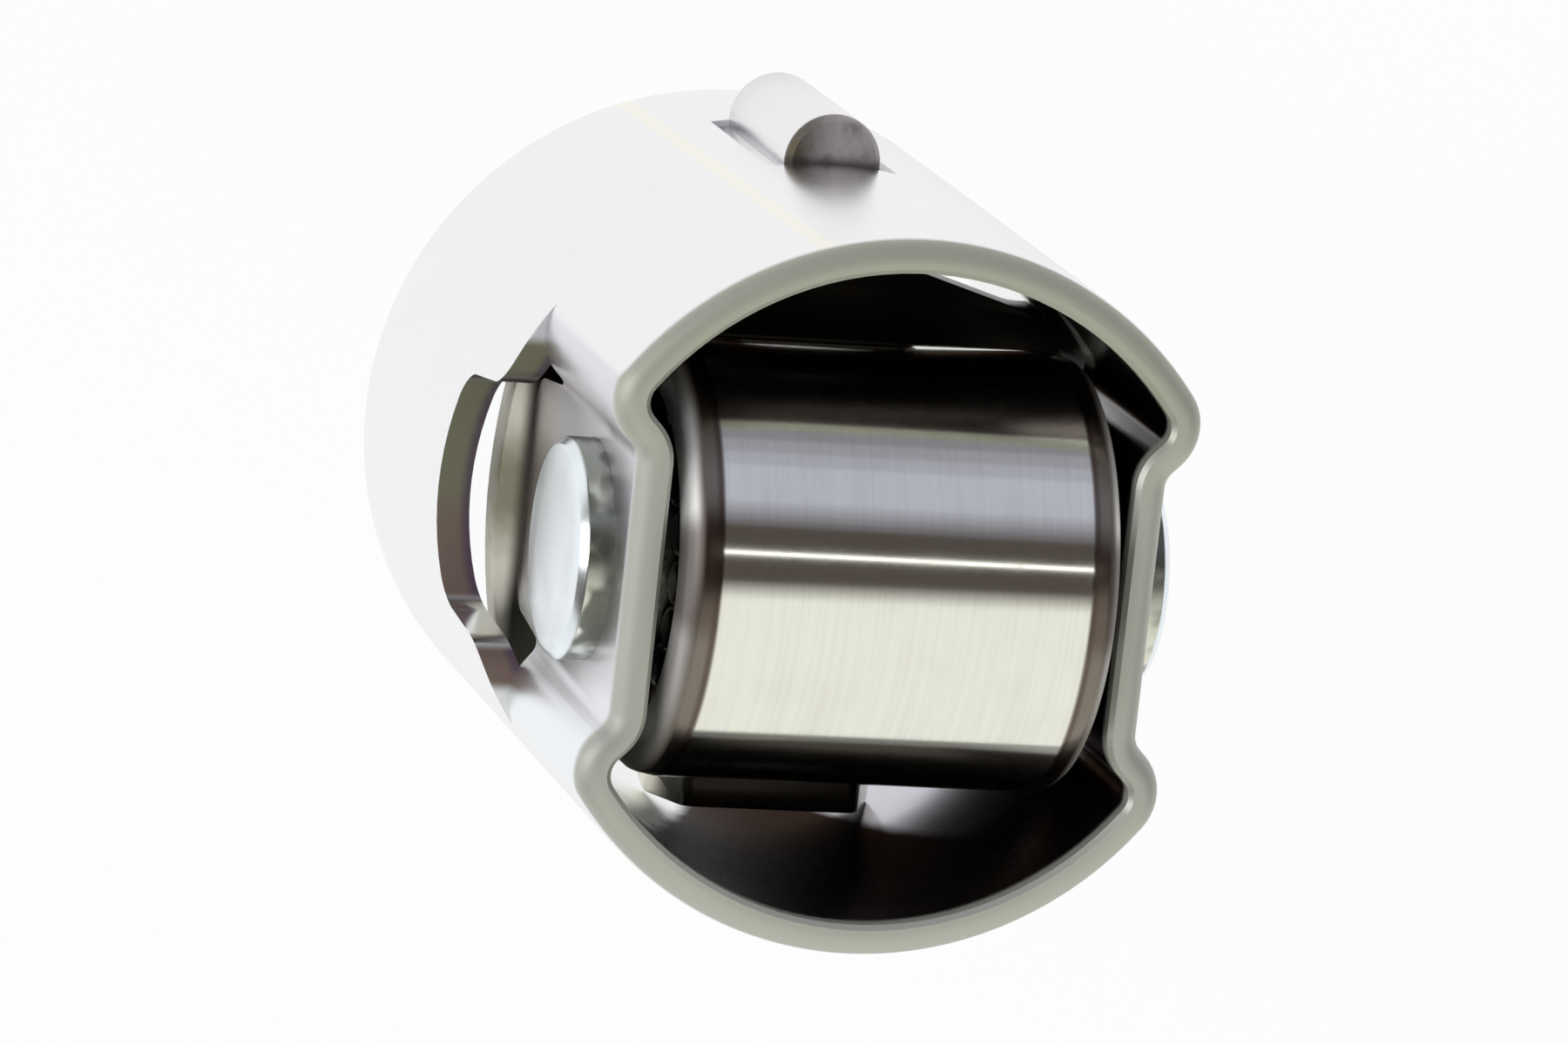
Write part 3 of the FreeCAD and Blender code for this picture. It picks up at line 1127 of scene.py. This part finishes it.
@dataclass
class FadingBox:
    """A wide soft box whose two long edges fade: lamps of shrinking span, one behind another.

    Each edge fades from its outer to its inner angle, in degrees from straight up to +Y.
    """

    name: str
    outer: Span
    inner: Span
    distance: float
    radiance: float
    glow: Glow
    width: float = 1.25
    spacing: float = 0.01
    steps: int = 5

    def lamps(self) -> list[Lamp]:
        """Share the box's light out.

        Returns:
            The lamps, from the widest and furthest to the narrowest and nearest.
        """
        lamps = []
        for i in range(self.steps):
            share = (i + 0.5) / self.steps
            near = self.outer[0] + (self.inner[0] - self.outer[0]) * share
            far = self.outer[1] + (self.inner[1] - self.outer[1]) * share
            distance = self.distance + self.spacing * (self.steps - i)
            height = 2 * distance * math.tan(math.radians(far - near) / 2)
            lamps.append(Lamp(f"{self.name}_{i + 1}", overhead((near + far) / 2), distance,
                              self.width, height, self.radiance / self.steps, self.glow))
        return lamps


def overhead(angle: float) -> tuple[float, float, float]:
    """The direction of a lamp above the tappet.

    Args:
        angle: degrees from straight up towards +Y.

    Returns:
        The direction, which leans along the pin as every such lamp does.
    """
    turn = math.radians(angle)
    return (LAMP_LEAN, math.sin(turn), math.cos(turn))


def placed(place: Vector, right: Vector, back: Vector) -> Matrix:
    """The matrix of a lamp or camera.

    Args:
        place: where it is.
        right: its own X.
        back: its own Z, which points away from what it faces.

    Returns:
        The matrix.
    """
    turn = Matrix((right, back.cross(right), back)).transposed().to_4x4()
    return Matrix.Translation(place) @ turn


@dataclass
class Studio:
    """Camera, floor, surroundings and lamps, in metres."""

    camera_place: Vector
    camera_right: Vector
    camera_up: Vector
    lens: float
    floor_size: float = 6.0
    paper: Colour = (0.86, 0.86, 0.86)
    white: Colour = (1.0, 1.0, 1.0)
    surroundings: Colour = (0.085, 0.070, 0.060)
    white_to_camera: float = 0.96
    white_in_steel: float = 0.90

    def camera(self) -> None:
        """Set the camera where the photograph was taken from."""
        data = bpy.data.cameras.new("camera")
        data.lens = self.lens
        camera = bpy.data.objects.new("camera", data)
        bpy.context.scene.collection.objects.link(camera)
        right = self.camera_right.normalized()
        back = right.cross(self.camera_up).normalized()
        camera.matrix_world = placed(self.camera_place, right, back)
        bpy.context.scene.camera = camera

    def floor(self) -> None:
        """Lay a pale floor that shows white to the camera and in the steel."""
        bpy.ops.mesh.primitive_plane_add(size=self.floor_size, location=(0, 0, 0))
        floor = bpy.context.object
        floor.name = "floor"
        g = Graph("floor")
        path = g.node("ShaderNodeLightPath")
        seen = Quantity(g, path.outputs["Is Camera Ray"])
        mirrored = Quantity(g, path.outputs["Is Glossy Ray"])
        through = Quantity(g, path.outputs["Is Transmission Ray"])
        paper = g.node("ShaderNodeBsdfDiffuse", None, {"Color": (*self.paper, 1.0)})
        white = g.node("ShaderNodeEmission", None, {"Color": (*self.white, 1.0)})
        share = seen * self.white_to_camera + (mirrored + through) * self.white_in_steel
        surface = g.layered(share, paper.outputs[0], white.outputs[0])
        floor.data.materials.append(g.close(surface))

    def world(self) -> None:
        """Dim grey surroundings, so that the lamps stand out in the steel."""
        world = bpy.data.worlds.new("studio")
        bpy.context.scene.world = world
        world.use_nodes = True
        background = world.node_tree.nodes["Background"]
        background.inputs["Color"].default_value = (*self.surroundings, 1.0)
        background.inputs["Strength"].default_value = 1.0

    def build(self, lamps: list[Lamp], target: Vector) -> None:
        """Set up the whole studio.

        Args:
            lamps: the soft boxes.
            target: the point that they face.
        """
        self.camera()
        self.floor()
        self.world()
        for lamp in lamps:
            lamp.build(target)
        bpy.context.scene.view_settings.view_transform = "Standard"


def studio_lamps() -> list[Lamp]:
    """Choose the lamps that give the steel its highlights.

    Returns:
        The lamps: one box on either side of the roller's crown, a strip and a side box.
    """
    front_box = FadingBox("front_box", outer=(-111, -1), inner=(-84, -10), distance=0.55,
                          radiance=0.87, glow=Glow.CREAM)
    back_box = FadingBox("back_box", outer=(28, 92), inner=(42, 56), distance=0.60,
                         radiance=0.55, glow=Glow.LAVENDER)
    strip = Lamp("strip", overhead(14.6), distance=0.60, width=0.60, height=0.011,
                 radiance=3.7, glow=Glow.CREAM)
    side_box = Lamp("side_box", (-0.84, 0.16, 0.46), distance=0.55, width=0.46,
                    height=0.24, radiance=3.6, glow=Glow.WHITE)
    return [*front_box.lamps(), *back_box.lamps(), strip, side_box]


def main() -> None:
    """Build and dress the pieces, set up the studio and report."""
    logging.basicConfig(level=logging.INFO, format="%(message)s")
    housing_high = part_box("housing")[1] / MM
    bridge_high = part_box("thrust_bridge")[1] / MM
    roller_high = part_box("roller")[1] / MM
    pin_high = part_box("axle_pin")[1] / MM
    needle_low, needle_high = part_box("needle_01")
    axis_height = middle_of("roller").z / MM
    HousingSet(
        guide_radius=housing_high.x,
        rim_height=housing_high.z,
        bridge_reach=bridge_high.x,
        tab_height=bridge_high.z).build()
    RollerSet(
        axis_height=axis_height,
        roller_half=roller_high.x,
        roller_radius=roller_high.z - axis_height,
        pin_half=pin_high.x,
        pin_radius=pin_high.z - axis_height,
        needle_half=needle_high.x / MM,
        needle_radius=(needle_high.z - needle_low.z) / 2 / MM,
        needle_reach=needle_high.z / MM - axis_height).build()
    studio = Studio(
        camera_place=Vector((-110.4916, 85.2671, 374.7395 + housing_high.z)) * MM,
        camera_right=Vector((0.96291532, 0.10675966, 0.2477831)),
        camera_up=Vector((-0.04937918, 0.97260427, -0.22716212)),
        lens=226.4)
    studio.build(studio_lamps(), target=Vector((0, 0, housing_high.z / 2)) * MM)


if __name__ == "__main__":
    main()
